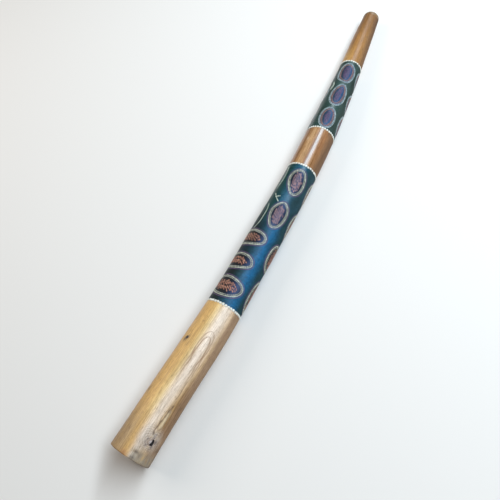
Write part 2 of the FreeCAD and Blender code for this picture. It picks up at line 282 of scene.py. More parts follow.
# ---- materials ----
class Shader:
    """A Principled material, and short calls that add the nodes it needs."""

    def __init__(self, name, **settings):
        self.material = bpy.data.materials.new(name)
        self.material.use_nodes = True
        self.tree = self.material.node_tree
        self.main = self.tree.nodes["Principled BSDF"]
        for socket, value in settings.items():
            self.main.inputs[socket.replace("_", " ")].default_value = value

    def node(self, kind, **settings):
        made = self.tree.nodes.new(kind)
        for key, value in settings.items():
            setattr(made, key, value)
        return made

    def link(self, output, socket):
        self.tree.links.new(output, socket)

    def attribute(self, name, output):
        return self.node("ShaderNodeAttribute", attribute_name=name).outputs[output]

    def noise(self, source, scale, stretch=(1, 1, 1), detail=4, roughness=0.55):
        """A noise; a larger stretch makes it finer that way."""
        mapping = self.node("ShaderNodeMapping")
        mapping.inputs["Scale"].default_value = stretch
        self.link(source, mapping.inputs["Vector"])
        noise = self.node("ShaderNodeTexNoise")
        noise.inputs["Scale"].default_value = scale
        noise.inputs["Detail"].default_value = detail
        noise.inputs["Roughness"].default_value = roughness
        self.link(mapping.outputs["Vector"], noise.inputs["Vector"])
        return noise.outputs["Fac"]

    def ramp(self, source, *stops):
        """Stops are (position, colour)."""
        ramp = self.node("ShaderNodeValToRGB")
        elements = ramp.color_ramp.elements
        for element, (position, _) in zip(elements, stops):
            element.position = position
        for position, _ in stops[2:]:
            elements.new(position)
        for element, (_, colour) in zip(elements, stops):
            element.color = (*colour, 1)
        self.link(source, ramp.inputs["Fac"])
        return ramp.outputs["Color"]

    def blend(self, first, second, amount, how="MIX"):
        """Colours mixed; each of the three may be a socket or a plain value."""
        made = self.node("ShaderNodeMix", data_type="RGBA", blend_type=how)
        for socket, value in ((0, amount), (6, first), (7, second)):
            if isinstance(value, bpy.types.NodeSocket):
                self.link(value, made.inputs[socket])
            elif socket == 0:
                made.inputs[socket].default_value = value
            else:
                made.inputs[socket].default_value = (*value, 1)
        return made.outputs[2]

    def stained(self, colour, source, dark, light, amount=1.0):
        """A colour multiplied by a ramp of a noise; dark and light are (position, tone)."""
        return self.blend(colour, self.ramp(source, dark, light), amount, "MULTIPLY")

    def spread(self, source, low, high):
        """The middle part of a noise, spread to a range."""
        made = self.node("ShaderNodeMapRange")
        made.inputs["From Min"].default_value = 0.3
        made.inputs["From Max"].default_value = 0.7
        made.inputs["To Min"].default_value = low
        made.inputs["To Max"].default_value = high
        self.link(source, made.inputs["Value"])
        return made.outputs["Result"]

    def bump(self, height, distance, strength=1.0, below=None):
        """A relief of a height in metres, on top of another one if that is given."""
        made = self.node("ShaderNodeBump")
        made.inputs["Strength"].default_value = strength
        made.inputs["Distance"].default_value = distance
        self.link(height, made.inputs["Height"])
        if below is not None:
            self.link(below, made.inputs["Normal"])
        return made.outputs["Normal"]

    def uneven_dullness(self, source, low, high):
        """The dullness layer, a little uneven with a noise."""
        made = self.node("ShaderNodeMath", operation="ADD")
        self.link(self.attribute("dullness", "Fac"), made.inputs[0])
        self.link(self.spread(source, low, high), made.inputs[1])
        return made.outputs[0]

    def finished(self, colour, normal, roughness=None):
        """The material, with its last nodes joined to the Principled shader."""
        self.link(colour, self.main.inputs["Base Color"])
        self.link(normal, self.main.inputs["Normal"])
        if roughness is not None:
            self.link(roughness, self.main.inputs["Roughness"])
        return self.material


def wood_material():
    """Varnished wood: the tint layer holds its zones and painted light and shade; noise along the log
    adds the grain.
    """
    shader = Shader("varnished_wood", Specular_IOR_Level=0.6)
    along_log = shader.attribute("straight", "Vector")
    streaks = shader.noise(along_log, 1, (6, 330, 330), detail=5, roughness=0.65)
    fine = shader.noise(along_log, 1, (30, 900, 900), detail=3)
    pores = shader.noise(along_log, 1, (75, 1100, 1100), detail=2)
    mottle = shader.noise(along_log, 1, (130, 420, 420), detail=3, roughness=0.7)
    colour = shader.attribute("tint", "Color")
    colour = shader.stained(colour, streaks, (0.32, (0.72, 0.66, 0.58)), (0.6, (1.08, 1.08, 1.08)), 0.85)
    colour = shader.stained(colour, fine, (0.32, (0.80, 0.76, 0.70)), (0.62, (1.06, 1.06, 1.06)))
    colour = shader.stained(colour, pores, (0.3, (0.42, 0.34, 0.27)), (0.42, (1, 1, 1)), 0.85)
    colour = shader.stained(colour, mottle, (0.34, (0.66, 0.6, 0.54)), (0.56, (1.08, 1.07, 1.06)), 0.4)
    relief = shader.bump(fine, 0.00012, 0.7, shader.bump(streaks, 0.0002, 0.3))
    return shader.finished(colour, relief, shader.uneven_dullness(fine, -0.04, 0.05))


def knot_material():
    """Dead wood: the tint layer darkened by a coarse noise."""
    shader = Shader("knot_wood", Specular_IOR_Level=0.3, Roughness=0.6)
    rough = shader.noise(shader.attribute("straight", "Vector"), 700, detail=5)
    colour = shader.stained(shader.attribute("tint", "Color"), rough,
                            (0.35, (0.6, 0.55, 0.5)), (0.65, (1.15, 1.12, 1.1)))
    return shader.finished(colour, shader.bump(rough, 0.0003))


def wax_material():
    """Dark beeswax with cloudy tones and small marks."""
    shader = Shader("beeswax", Subsurface_Weight=0.25, Subsurface_Scale=0.004, Coat_Weight=0.1,
                    Coat_Roughness=0.3, Subsurface_Radius=(1.0, 0.6, 0.3))
    source = shader.attribute("straight", "Vector")
    clouds = shader.noise(source, 90, detail=4)
    marks = shader.noise(source, 420, detail=3)
    colour = shader.ramp(clouds, (0.32, (0.15, 0.075, 0.03)), (0.5, (0.22, 0.125, 0.055)),
                         (0.7, (0.30, 0.19, 0.10)))
    colour = shader.stained(colour, marks, (0.3, (0.8, 0.78, 0.74)), (0.55, (1, 1, 1)))
    relief = shader.bump(marks, 0.0003, 0.6, shader.bump(clouds, 0.0012, 0.5))
    return shader.finished(colour, relief, shader.spread(clouds, 0.36, 0.52))


def coat_material(name, shine):
    """A band's ground coat: the tint layer holds its colour zones and painted light; brush marks run
    round the log.
    """
    shader = Shader(name, Specular_IOR_Level=shine)
    source = shader.attribute("straight", "Vector")
    brush = shader.noise(source, 1, (700, 60, 60), detail=5, roughness=0.6)
    clouds = shader.noise(source, 38, detail=4)
    specks = shader.noise(source, 330, detail=3, roughness=0.7)
    colour = shader.attribute("tint", "Color")
    colour = shader.stained(colour, brush, (0.3, (0.66, 0.7, 0.74)), (0.68, (1.2, 1.18, 1.15)))
    colour = shader.stained(colour, specks, (0.36, (0.5, 0.56, 0.6)), (0.56, (1.1, 1.08, 1.06)), 0.9)
    colour = shader.stained(colour, clouds, (0.34, (0.8, 0.84, 0.82)), (0.66, (1.15, 1.12, 1.1)), 0.8)
    return shader.finished(colour, shader.bump(brush, 0.00015, 0.7),
                           shader.uneven_dullness(brush, -0.05, 0.06))


def dot_material(name, dark, light, roughness=0.4, tinted=False, shine=0.25):
    """Thick paint: each dot has a slightly different tone, from a noise wider than a dot."""
    shader = Shader(name, Specular_IOR_Level=shine)
    source = shader.node("ShaderNodeTexCoord").outputs["Object"]
    grit = shader.noise(source, 2200, detail=2)
    colour = shader.ramp(shader.noise(source, 300, detail=2), (0.34, dark), (0.66, light))
    if tinted:
        # The tint layer, which on the oval fields holds painted light.
        colour = shader.blend(colour, shader.attribute("tint", "Color"), 1.0, "MULTIPLY")
    colour = shader.stained(colour, grit, (0.3, (0.86, 0.86, 0.86)), (0.6, (1, 1, 1)))
    return shader.finished(colour, shader.bump(grit, 0.0001, 0.6),
                           shader.spread(grit, roughness, roughness + 0.12))


# ---- colours of the wood ----
GOLD = np.array((0.68, 0.41, 0.14))
# The next two colours paint a highlight: the pale band on the bell's top and its warm edge. The first
# also colours the pale spots and the paler back.
PALE = np.array((0.88, 0.745, 0.65))
WARM_HIGHLIGHT = np.array((0.86, 0.64, 0.30))
# A pinkish brown for the bell's -Y side, partly its own colour and partly darkened as painted shade.
PINKISH = np.array((0.37, 0.235, 0.14))
RED_BROWN = np.array((0.31, 0.128, 0.052))
DARK_BROWN = np.array((0.15, 0.07, 0.022))
# a rose painted highlight for the wood between the bands
ROSE_HIGHLIGHT = np.array((0.62, 0.40, 0.22))
MOUTH_BROWN = np.array((0.38, 0.18, 0.042))
WEATHERED = np.array((0.33, 0.285, 0.23))
STAIN = np.array((0.06, 0.045, 0.04))
DARK_LINE = np.array((0.16, 0.09, 0.05))
END_GRAIN = np.array((0.50, 0.36, 0.21))
BORE_BROWN = np.array((0.16, 0.095, 0.05))
# a cool grey painted highlight for the wood between the bands
COOL_HIGHLIGHT = np.array((0.33, 0.33, 0.36))
BELL_BROWN = np.array((0.36, 0.235, 0.12))
BELL_RED = np.array((0.33, 0.13, 0.07))
KNOT_PALE = np.array((0.62, 0.52, 0.45))
LILAC_GREY = np.array((0.40, 0.36, 0.38))
LOOP_BROWN = np.array((0.34, 0.19, 0.10))
LENS_PALE = np.array((0.68, 0.53, 0.35))
HANDLED = np.array((0.70, 0.68, 0.72))
OLD_END_GRAIN = END_GRAIN * np.array((0.62, 0.54, 0.45))
CRACK = [(60, -45), (66, -42), (74, -44), (85, -44.5), (93, -47.5), (108, -48.5), (124, -52)]
LENS_MIDDLE = [(76, -52), (110, -52.5)]
LENS_EDGE = [(66, -50), (74, -56), (84, -58.5), (98, -57), (112, -54.5), (122, -53)]
FAINT_LINES = [[(124, -52), (150, -49), (178, -46)], [(70, -38), (96, -41), (120, -46), (140, -47)],
               [(60, -66), (90, -66), (128, -60), (170, -60)]]
# the painted highlight: a pale band along the top of the bell's wood, where the light falls
HIGHLIGHT_PLACES, HIGHLIGHT_MIDDLES, HIGHLIGHT_WIDTHS = (0, 60, 190, 360), (-30, -26, -32, -34), (13, 15, 21, 23)
# place, angle, half length, half width and strength of each spot; a pale one has a minus
SPOTS = (
    (17, -32, 3, 7, 0.75), (5, -30, 2.5, 6, 0.6), (43, -40, 5, 3, 0.4), (58, -48, 3.2, 2.6, 0.9),
    (37, -61, 3, 3, 0.6), (251, 33, 6, 5, 0.8), (258, 24, 8, 2.2, 0.6), (171, -3, 3, 1, 0.6),
    (303, 9, 2, 4, 0.35), (36, -88, 7, 6, 0.5), (866, 21, 6, 2, -0.5), (903, -50, 3, 3, 0.7),
    (1262, -40, 8, 2, 0.4), (1320, -37, 5, 4, 0.35), (128, 44, 6, 5, 0.5), (1402, 110, 9, 4, 0.5),
    (840, 160, 9, 4, 0.5), (190, 130, 12, 4, 0.5))
# tip place, middle angle, half width and strength of each pointed loop of grain
LOOPS = ((292, -31, 14, 0.75), (279, -31, 10.5, 0.9), (246, -32, 5.5, 0.35))


def bell_wood(place, angle, long_noise, short_noise):
    """Gold towards +Y, a painted highlight along the top, brown and painted shade towards -Y, and paler
    at the back.
    """
    below_band = smooth_step(500, 330, place)
    # The -Y side: pinkish brown wood, darker there as painted shade.
    pink_shaded_side = smooth_step(-38, -72, angle + 5 * long_noise) * smooth_step(-180, -150, angle)
    # A warm painted highlight at the +Y edge of the pale band.
    warm = hump(angle + 9 + 1.5 * long_noise, 12) * smooth_step(50, 120, place)
    highlight_middle = np.interp(place, HIGHLIGHT_PLACES, HIGHLIGHT_MIDDLES)
    highlight_width = np.interp(place, HIGHLIGHT_PLACES, HIGHLIGHT_WIDTHS)
    # The pale band is a painted highlight along the top, where the light falls.
    pale = np.exp(-np.abs((angle - highlight_middle + 1.2 * long_noise) / highlight_width) ** 2.6)
    streaky = (smooth_step(-46, -60, angle + 1.5 * short_noise) * smooth_step(-110, -84, angle)
               * zone(place, 48, 80, 130, 210))
    return layered(GOLD, (PINKISH, pink_shaded_side), (WARM_HIGHLIGHT, 0.8 * warm * below_band),
                   (PALE, 0.86 * pale * below_band), (DARK_BROWN * 1.5, 0.42 * streaky),
                   (PALE, 0.35 * hump(np.abs(angle) - 150 + 6 * long_noise, 22)))


def upper_wood(colour, place, angle, long_noise, short_noise):
    """Red-brown wood between the bands and brown at the mouth; painted highlights on top, painted shade
    on both sides.
    """
    red = smooth_step(650, 760, place) * (0.8 + 0.1 * long_noise).clip(0, 1)
    brown = smooth_step(1100, 1190, place) * (0.85 + 0.1 * short_noise).clip(0, 1)
    far_up = smooth_step(600, 700, place)
    # Painted shade: darker down the -Y side.
    painted_side_shade = smooth_step(-26, -70, angle + 4 * long_noise) * smooth_step(-150, -110, angle)
    # A rose painted highlight at about +8 degrees.
    rose = hump(angle - 8 + 3 * long_noise, 9) * smooth_step(1120, 950, place)
    # A cool grey painted highlight along the main highlight, at about -16 degrees.
    cool = hump(angle + 16 + 0.6 * short_noise, 6) * smooth_step(1150, 950, place)
    gold = zone(place, 1150, 1200, 1210, 1290) * smooth_step(-10, 15, angle)
    colour = layered(colour, (RED_BROWN, red), (MOUTH_BROWN, brown),
                     (DARK_BROWN, 0.85 * far_up * painted_side_shade),
                     # painted shade on the +Y side, beyond the rose highlight
                     (DARK_BROWN, 0.5 * far_up * hump(angle - 32, 12)),
                     (ROSE_HIGHLIGHT, 0.7 * far_up * rose), (COOL_HIGHLIGHT, 0.6 * far_up * cool),
                     (GOLD, 0.45 * gold))
    return mix(colour, colour * HANDLED, smooth_step(1290, 1420, place))


def bell_end(colour, place, angle, short_noise):
    """Browner wood on the +Y side of the bell, a reddish top, and a weathered patch towards -Y."""
    brown_top = smooth_step(125, 35, place) * zone(angle, -16, 14, 120, 150)
    grey = smooth_step(34, 12, place + 4 * short_noise) * zone(angle, -150, -110, -30, -14)
    blotches = waves(place, angle, 22, 26, 18, 5)
    return layered(colour, (BELL_BROWN, 0.8 * brown_top), (WEATHERED, 0.8 * grey),
                   (STAIN * 2.5, 0.45 * grey * smooth_step(0.0, 1.8, blotches)),
                   (GOLD * 0.8, 0.5 * grey * smooth_step(-0.2, -1.8, blotches)),
                   (BELL_RED, 0.6 * smooth_step(14, 4, place) * hump(angle + 6, 9)))


def wood_tint(place, angle):
    """The colour of the bare wood, with painted highlights and shade, at a place and an angle, without
    its lines and cracks.
    """
    angle = signed(angle)
    long_noise = waves(place, angle, 260, 9, 14, 3)
    short_noise = waves(place, angle, 70, 14, 14, 4)
    colour = bell_wood(place, angle, long_noise, short_noise)
    colour = upper_wood(colour, place, angle, long_noise, short_noise)
    colour = bell_end(colour, place, angle, short_noise)
    for spot_place, spot_angle, length, width, strength in SPOTS:
        u, v = unrolled(place, angle, spot_place, spot_angle)
        spot = hump(u, length) * hump(v, width)
        colour = mix(colour, STAIN if strength > 0 else PALE, abs(strength) * spot)
    return mix(colour, colour * 0.8, 0.5 * smooth_step(0.2, 1.6, short_noise + long_noise))


def knot_rings(place, angle):
    """How strongly a growth line round the bell knot shows, and how far the knot's middle is."""
    u, v = unrolled(place, angle, BELL_KNOT[0], BELL_KNOT[1])
    reach = np.hypot(u * np.where(u > 0, 0.72, 1.0), v * np.where(v > 0, 0.72, 1.0))
    bearing = np.arctan2(v, u)
    wobble = (1.1 * np.sin(2 * bearing + 0.5) + 0.9 * np.sin(3 * bearing + 1)
              + 0.5 * np.sin(5 * bearing + 2 + reach / 4)) * reach / 12
    lines = 0.5 + 0.5 * np.cos((reach + wobble) * 2 * math.pi / 3.3)
    broken = 0.55 + 0.45 * np.sin(2 * bearing + reach / 5 + 1.2) * np.sin(3 * bearing + 0.4)
    return lines ** 3 * broken * zone(reach, 5, 8, 15, 29), reach


def cathedral(place, angle):
    """Long pointed loops of grain whose tips lie towards the mouth end."""
    total = 0
    for tip, middle, half_width, strength in LOOPS:
        u, v = unrolled(place, angle, tip, middle)
        back = np.clip(-u, 0, None)
        width = half_width * np.clip(1 - np.exp(-back / 16), 0, 1) ** 0.6
        sway = 0.9 * np.sin(u / 13 + middle) + 0.5 * np.sin(u / 5.5)
        line = hump(np.abs(v) - width + sway, 1.3) * (u < 0) * smooth_step(-135, -60, u)
        total = total + strength * line
    return np.clip(total, 0, 1)


def log_colour(place, angle):
    """The wood's colour with its growth lines, stains, pointed loops and cracks."""
    lines, reach = knot_rings(place, angle)
    patches = waves(place, angle, 13, 30, 16, 6)
    inside_lens = smooth_step(5.5, 2, distance_to_path(place, angle, LENS_MIDDLE))
    ragged = 1 + 0.3 * np.sin(place / 1.9) + 0.25 * np.sin(place / 4.3 + 1)
    strokes = [(path, 0.8, DARK_LINE, 0.55) for path in FAINT_LINES]
    strokes += [(LENS_EDGE, 1.2 * ragged, DARK_LINE, 0.65), (CRACK, 1.6 * ragged, DARK_LINE * 0.6, 0.8)]
    return layered(wood_tint(place, angle), (KNOT_PALE, 0.75 * smooth_step(28, 12, reach)),
                   (LILAC_GREY, 0.75 * smooth_step(17, 8, reach) * smooth_step(-0.6, 1.2, patches)),
                   (STAIN * 1.5, 0.6 * smooth_step(15, 9, reach) * smooth_step(0.5, 1.5, patches)),
                   (DARK_LINE * 0.9, 0.85 * lines), (LOOP_BROWN, cathedral(place, angle)),
                   (LENS_PALE, 0.8 * inside_lens),
                   *((tone, strength * hump(distance_to_path(place, angle, path), width))
                     for path, width, tone, strength in strokes))


def log_lift(place, angle):
    """How far the wood's skin stands off the CAD surface, in millimetres."""
    bare = np.ones(np.broadcast(place, angle).shape)
    for low, high in ((RING_PLACES["bell_dot_ring"], RING_PLACES["lower_band_dot_ring"]),
                      (RING_PLACES["upper_band_dot_ring"], RING_PLACES["mouth_dot_ring"])):
        bare = bare * (1 - zone(place, low - 8, low - 3, high + 3, high + 8))
    lift = 0.07 * waves(place, angle, 240, 60, 26, 7) + 0.12 * waves(place, angle, 130, 7, 10, 8)
    lines, reach = knot_rings(place, angle)
    lift = lift + KNOT_SWELL * hump(reach, 14) - 0.25 * lines
    for path, depth in ((CRACK, 0.7), (LENS_EDGE, 0.35)):
        lift = lift - depth * hump(distance_to_path(place, angle, path), 0.9)
    lift = lift - 0.12 * cathedral(place, angle)
    for knot_place, knot_angle, radius in (BELL_KNOT, SIDE_KNOT):
        u, v = unrolled(place, angle, knot_place, knot_angle)
        away = np.hypot(u, v)
        lift = lift - 0.25 * radius * smooth_step(radius * 1.08, radius * 0.96, away)
    return lift * bare


# ---- the log ----
LOG_COLUMNS = 168
END_RING_PITCH = 1.9
DULL_PLACES = (0, 40, 300, 500, 780, 940, 1200, 1440)
DULL_VALUES = (0.52, 0.46, 0.44, 0.32, 0.27, 0.28, 0.4, 0.45)
FACE_DULLNESS = 0.62
BORE_DULLNESS = 0.85


def log_profile():
    """Rows of (place, radius, zone): the skin from the mouth to the bell, then back by the bore."""
    bands = sorted(RING_PLACES.values())
    skin_places = np.concatenate([
        np.arange(BELL_ROUND, bands[0] + 4, 1.6), np.arange(bands[0] + 8, bands[1] - 6, 12),
        np.arange(bands[1] - 4, bands[2] + 4, 2.2), np.arange(bands[2] + 8, bands[3] - 6, 12),
        np.arange(bands[3] - 4, LOG_LENGTH, 2.0), [LOG_LENGTH]])
    profile = [(place, wood_radius(place), "skin") for place in skin_places[::-1]]
    for turn in np.radians(np.arange(15, 91, 15)):
        place = BELL_ROUND * (1 - math.sin(turn))
        profile.append((place, wood_radius(place) - BELL_ROUND * (1 - math.cos(turn)), "skin"))
    face_outer = wood_radius(0) - BELL_ROUND
    face_width = bore_radius(0) + BORE_EDGE_ROUND - face_outer
    profile += [(0, face_outer + face_width * share, "face") for share in np.linspace(0.1, 1, 10)]
    profile += [(BORE_EDGE_ROUND * (1 - math.cos(turn)),
                 bore_radius(0) + BORE_EDGE_ROUND * (1 - math.sin(turn)), "bore")
                for turn in np.radians((35, 65, 90))]
    seat_floor = LOG_LENGTH - SEAT_DEPTH
    bore_places = [np.arange(4, 200, 6), np.arange(208, 1180, 24), np.arange(1190, seat_floor, 12)]
    profile += [(place, bore_radius(place), "bore") for place in np.concatenate(bore_places)]
    return profile + [(seat_floor, bore_radius(seat_floor), "seat"), (seat_floor, SEAT_RADIUS, "seat"),
                      (LOG_LENGTH - 8, SEAT_RADIUS, "seat"), (LOG_LENGTH, SEAT_RADIUS, "seat")]


def build_log():
    """The log in one closed skin, with its own colour on the outside, the sawn face and the bore."""
    profile = log_profile()
    places, turns, radii = round_grid([(place, radius) for place, radius, _ in profile], LOG_COLUMNS)
    skin, face, bore, seat = (np.array([zone == wanted for _, _, zone in profile])
                              for wanted in ("skin", "face", "bore", "seat"))
    inner = bore | seat
    tint = log_colour(places, turns)
    dullness = np.interp(places, DULL_PLACES, DULL_VALUES) + 0.45 * wear(turns)
    radii[skin] += log_lift(places, turns)[skin]
    rough = 0.7 * waves(places, turns, 60, 9, 14, 21) + 0.35 * waves(places, turns, 14, 30, 14, 22)
    radii[bore] += (rough * smooth_step(0, 12, places))[bore]
    places[face] += 0.18 * waves(places + radii, turns, 9, 5, 8, 23)[face]
    oval_radii = radii + 1.2 * np.sin(np.radians(turns) * 2)
    ring_line = 0.5 + 0.5 * np.cos(oval_radii * 2 * math.pi / END_RING_PITCH)
    end_colour = mix(END_GRAIN, OLD_END_GRAIN, 0.7 * ring_line)
    radial_checks = smooth_step(1.2, 2.2, waves(places, turns, 1e6, 40, 12, 24))
    tint[face] = mix(end_colour, DARK_LINE, 0.5 * radial_checks)[face]
    tint[inner] = mix(BORE_BROWN, BORE_BROWN * 0.45, smooth_step(-0.8, 1.2, rough))[inner]
    dullness[face] = FACE_DULLNESS
    dullness[inner] = BORE_DULLNESS
    new_tube("log_body", places, turns, radii, wood_material(), "hollow_log", "varnished_wood",
             tint=tint, dullness=dullness)


# ---- the knots ----
KNOT_LIGHT = np.array((0.56, 0.46, 0.40))
KNOT_RING = np.array((0.32, 0.23, 0.18))
KNOT_LILAC = np.array((0.62, 0.59, 0.62))
# near-black painted shade for a knot's hollow
GAP_SHADE_BLACK = np.array((0.012, 0.009, 0.010))


def build_knot(name, knot, hollow_shape, crown, tone):
    """A plug with ring cracks, a hollow and a rough skirt that goes down into the wood, both in painted
    shade.
    """
    centre_place, centre_angle, radius = knot
    rings, columns = 26, 84
    shares = np.linspace(1 / rings, 1, rings)[:, None]
    around = np.radians(np.arange(columns) * 360 / columns)[None, :]
    edge = 1 + 0.03 * np.sin(3 * around + 1) + 0.02 * np.sin(7 * around)
    u = radius * 0.985 * shares * edge * np.cos(around)
    v = radius * 0.985 * shares * edge * np.sin(around)
    hollow = hollow_shape(u / radius, v / radius)
    lift = (0.06 * radius * (1 - shares ** 2) + 0.035 * radius * np.cos(shares * 9 * math.pi)
            - 0.16 * radius * hollow + 0.02 * radius * np.sin(5 * around + 6 * shares)
            + crown - 0.25)
    ring_line = 0.5 + 0.5 * np.cos(shares * 5 * math.pi + 0.9 * np.sin(2 * around))
    lilac = smooth_step(0.75, 0.2, shares) * smooth_step(-0.35, 0.25, v / radius)
    tint = layered(KNOT_LIGHT, (KNOT_RING, 0.8 * ring_line), (KNOT_LILAC, 0.8 * lilac),
                   (GAP_SHADE_BLACK, smooth_step(0.12, 0.5, hollow)))
    # The skirt's two rows go down into the wood and are darkened as painted shade.
    for share, depth, shade in ((0.99, 1.4, 0.4), (0.96, 2.6, 0.3)):
        u = np.concatenate([u, u[rings - 1:rings] * share])
        v = np.concatenate([v, v[rings - 1:rings] * share])
        lift = np.concatenate([lift, np.full((1, columns), crown - depth)])
        tint = np.concatenate([tint, tint[rings - 1:rings] * shade])
    grid = surface(centre_place + u, centre_angle + np.degrees(v / wood_radius(centre_place)), lift)
    top, bottom = (surface(centre_place, centre_angle, row.mean())[None] for row in (lift[0], lift[-1]))
    points = np.concatenate([grid.reshape(-1, 3), top, bottom])
    ends = [tint[0].mean(axis=0), tint[-1].mean(axis=0)]
    rows = len(u)
    last = (rows - 1) * columns
    faces = ring_faces(rows, columns, False)
    faces += [(rows * columns, (c + 1) % columns, c) for c in range(columns)]
    faces += [(rows * columns + 1, last + c, last + (c + 1) % columns) for c in range(columns)]
    new_piece(name, points, faces, knot_material(), [name.replace("_plug", "")], "knot_wood",
              tint=tone * np.concatenate([tint.reshape(-1, 3), ends]), straight=points)


def crescent(u, v):
    """The bell knot's hollow, in near-black painted shade: a bent slot at its lower side, widest towards
    the bell.
    """
    return hump(v + 0.42 - 0.25 * np.abs(u), 0.36 - 0.14 * u) * smooth_step(0.9, 0.65, np.abs(u))


def small_hollow(u, v):
    """The side knot's hollow: a short oval pit across the log."""
    return hump(u + 0.1, 0.3) * hump(v, 0.55)


# ---- the wax mouthpiece ----
WAX_COLUMNS = 96
WAX_GAP = 0.3
# how far each row of the smear is beyond the log's end, and how far it stands off the wood
WAX_SMEAR = ((0.3, 0.35), (-0.8, 0.3), (-2, 0.22), (-3.2, 0.1), (-4.2, -0.3), (-5, -1.2))


def build_wax():
    """The wax sleeve in its seat, with a thumbed lip and a thin smear over the wood's end."""
    end = LOG_LENGTH + WAX_LIP
    floor_place = LOG_LENGTH - SEAT_DEPTH + WAX_GAP
    seat_wall = SEAT_RADIUS - WAX_GAP
    outer = float(wood_radius(LOG_LENGTH))
    profile = [(floor_place, WAX_BORE)]
    profile += [(place, WAX_BORE)
                for place in np.arange(LOG_LENGTH - SEAT_DEPTH + 4, end - WAX_INNER_ROUND, 3)]
    profile += [(end - WAX_INNER_ROUND * (1 - math.sin(turn)),
                 WAX_BORE + WAX_INNER_ROUND * (1 - math.cos(turn)))
                for turn in np.radians(np.arange(0, 91, 15))]
    profile += [(end - WAX_OUTER_ROUND * (1 - math.cos(turn)),
                 outer - WAX_OUTER_ROUND * (1 - math.sin(turn)))
                for turn in np.radians(np.arange(0, 91, 12))]
    profile += [(place, outer + 0.2)
                for place in np.arange(end - WAX_OUTER_ROUND - 1.5, LOG_LENGTH + 0.8, -1.5)]
    smear_start = len(profile)
    profile += [(LOG_LENGTH + beyond, outer) for beyond, _ in WAX_SMEAR]
    profile += [(LOG_LENGTH - 5, seat_wall), (floor_place, seat_wall)]
    places, turns, radii = round_grid(profile, WAX_COLUMNS)
    thumbed = 0.22 * waves(places, turns, 25, 7, 12, 31) + 0.08 * waves(places, turns, 8, 14, 12, 32)
    radii[:smear_start] += thumbed[:smear_start]
    ragged = 0.22 * waves(0, turns[0], 1e6, 9, 10, 33)
    for row, (beyond, lift) in enumerate(WAX_SMEAR, start=smear_start):
        places[row] += (WAX_SMEAR[0][0] - beyond) * ragged
        radii[row] = wood_radius(places[row]) + log_lift(places[row], turns[row]) + lift
    new_tube("wax_lip", places, turns, radii, wax_material(), "beeswax_mouthpiece", "beeswax")


# ---- the painted bands ----
# the blue of the painted light along the lower band's top
PAINTED_LIGHT_BLUE = np.array((0.004, 0.115, 0.270))
GREY_BLUE = np.array((0.030, 0.120, 0.200))
TEAL = np.array((0.014, 0.046, 0.058))
TEAL_GREEN = np.array((0.013, 0.050, 0.047))
BLACK_GREEN = np.array((0.006, 0.014, 0.015))
DEEP_GREEN = np.array((0.010, 0.024, 0.017))
# the lighter green of the upper band's painted light
SEA_GREEN = np.array((0.040, 0.085, 0.078))
COAT_BURIED = -0.25


def lower_coat_colour(places, angles):
    """Blue painted light along the top, blue at the back, teal towards -Y, and black-green to green
    towards +Y.
    """
    angles = signed(angles)
    noise = waves(places, angles, 90, 8, 14, 41)
    # The middle of the painted light follows where the light falls along the band.
    middle = np.interp(places, (356, 560, 640, 777), (-36, -34, -16, -14))
    lit_blue = hump(angles - middle, 20) + hump(np.abs(angles) - 148, 26)
    side = mix(BLACK_GREEN, TEAL_GREEN, smooth_step(560, 640, places + 12 * noise))
    edge = mix(TEAL, side, zone(angles, -12, 18, 120, 160))
    blotches = waves(places, angles, 26, 22, 20, 44)
    hue = mix(PAINTED_LIGHT_BLUE, GREY_BLUE, smooth_step(590, 690, places) + 0.25 * smooth_step(0.2, 1.5, blotches))
    return mix(edge, hue, np.clip(lit_blue * (1 + 0.16 * blotches) + 0.07 * noise, 0, 1))


def upper_coat_colour(places, angles):
    """Deep green, lighter along the top as painted light, and lighter along the back."""
    noise = waves(places, angles, 80, 8, 14, 42)
    angles = signed(angles)
    # Painted light: lighter green along the top, where the light falls, and lighter along the back.
    lit = hump(angles + 10, 34) + 0.6 * hump(np.abs(angles) - 150, 30)
    return mix(DEEP_GREEN, SEA_GREEN, np.clip(0.85 * lit + 0.12 + 0.15 * noise, 0, 1))


def build_coat(name, low, high, node, slot_name, colour_at, shine):
    """A thin tube of paint from one place to another, with its inner side buried in the wood."""
    edge_rows = [[low, low + 0.5], np.arange(low + 2, high - 2, 3), [high - 0.5, high]]
    profile = [(low, COAT_BURIED)]
    profile += [(place, COAT if 0.4 < place - low < high - low - 0.4 else COAT * 0.5)
                for place in np.concatenate(edge_rows)]
    profile += [(place, COAT_BURIED) for place in (high, *np.arange(high - 20, low + 10, -30))]
    places, turns, lifts = round_grid(profile, LOG_COLUMNS)
    lifts += 0.03 * waves(places, turns, 12, 30, 16, 43) * (lifts > 0)
    dullness = np.interp(places, (600, 730, 960, 1080), (0.5, 0.27, 0.27, 0.45)) + 0.4 * wear(turns)
    new_tube(name, places, turns, wood_radius(places) + lifts, coat_material(name + "_paint", shine),
             node, slot_name, tint=colour_at(places, turns), dullness=dullness)


# ---- domes of thick paint ----
# the share of its half width and of its height at each rim of a dome, from its foot up
DOME_LEVELS = ((1.0, -0.15), (0.93, 0.38), (0.62, 0.84))
BEAD_PITCH = 6.84


